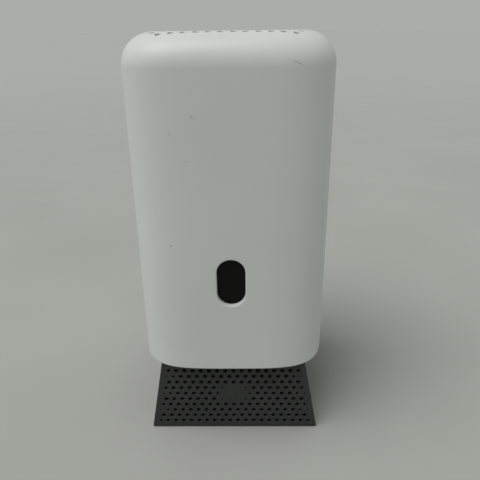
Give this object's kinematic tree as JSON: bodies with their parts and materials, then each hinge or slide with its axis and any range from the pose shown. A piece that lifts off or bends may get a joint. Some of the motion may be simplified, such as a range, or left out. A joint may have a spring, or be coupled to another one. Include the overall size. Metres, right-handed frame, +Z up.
{
  "type": "wireless router",
  "caption": "Upright wireless router: tall rounded-square shell with a status window and top vents, on a flared perforated base, with rear network sockets, power inlet and push buttons.",
  "frame": {"origin": "on the floor, under the middle of the shell", "axes": "+Z up, -Y out of the front face with the status window, +X to the right seen from the front"},
  "size_m": [0.112, 0.112, 0.236],
  "materials": {
    "shell_white": "fine satin moulded plastic",
    "window_black": "polished smoked lens",
    "base_grey": "fine moulded texture",
    "foot_rubber": "soft matt",
    "panel_grey": "fine moulded texture",
    "jack_metal": "plated sheet",
    "contact_gold": "gold plated",
    "socket_black": "moulded",
    "pin_metal": "plated pin",
    "button_grey": "satin",
    "switch_black": "moulded",
    "frame_white": "moulded",
    "board_green": "solder mask",
    "chip_black": "moulded package",
    "pad_blue": "soft gap filler",
    "sink_aluminium": "extruded",
    "can_metal": "tinned sheet",
    "connector_cream": "moulded",
    "led_white": "lens",
    "guide_clear": "clear moulding",
    "ribbon_white": "flat ribbon",
    "antenna_board": "dark solder mask",
    "lead_black": "coaxial jacket",
    "screw_steel": "zinc plated"
  },
  "bodies": {
    "housing": {"outer_shell": "shell_white", "front_window": "window_black", "shell_floor": "base_grey", "base_skirt": "base_grey", "base_plate": "base_grey", "rubber_feet": "foot_rubber", "io_panel": "panel_grey", "wan_jack": "jack_metal", "lan_jack_1": "jack_metal", "lan_jack_2": "jack_metal", "lan_jack_3": "jack_metal", "jack_contacts": "contact_gold", "dc_jack": "socket_black", "dc_pin": "pin_metal", "power_switch": "switch_black", "wps_switch": "switch_black", "reset_switch": "switch_black", "inner_frame": "frame_white", "main_board": "board_green", "chips": "chip_black", "thermal_pads": "pad_blue", "heat_sink": "sink_aluminium", "shield_cans": "can_metal", "board_connectors": "connector_cream", "led_board": "board_green", "status_leds": "led_white", "light_guide": "guide_clear", "led_ribbon": "ribbon_white", "antenna_posts": "frame_white", "antenna_front_left": "antenna_board", "antenna_front_right": "antenna_board", "antenna_rear_left": "antenna_board", "antenna_rear_right": "antenna_board", "antenna_leads": "lead_black", "board_screws": "screw_steel", "heat_sink_screws": "screw_steel", "frame_screws": "screw_steel", "post_screws": "screw_steel", "base_screws": "screw_steel"},
    "power_button": {"power_button": "button_grey"},
    "wps_button": {"wps_button": "button_grey"},
    "reset_button": {"reset_button": "socket_black"}
  },
  "joints": [
    {"name": "power_press", "type": "slide", "parent": "housing", "child": "power_button", "axis": [0, -1, 0], "range_m": [0, 0.002], "stiffness_N_per_m": 600},
    {"name": "wps_press", "type": "slide", "parent": "housing", "child": "wps_button", "axis": [0, -1, 0], "range_m": [0, 0.0008], "stiffness_N_per_m": 900},
    {"name": "reset_press", "type": "slide", "parent": "housing", "child": "reset_button", "axis": [0, -1, 0], "range_m": [0, 0.0006], "stiffness_N_per_m": 900}
  ]
}
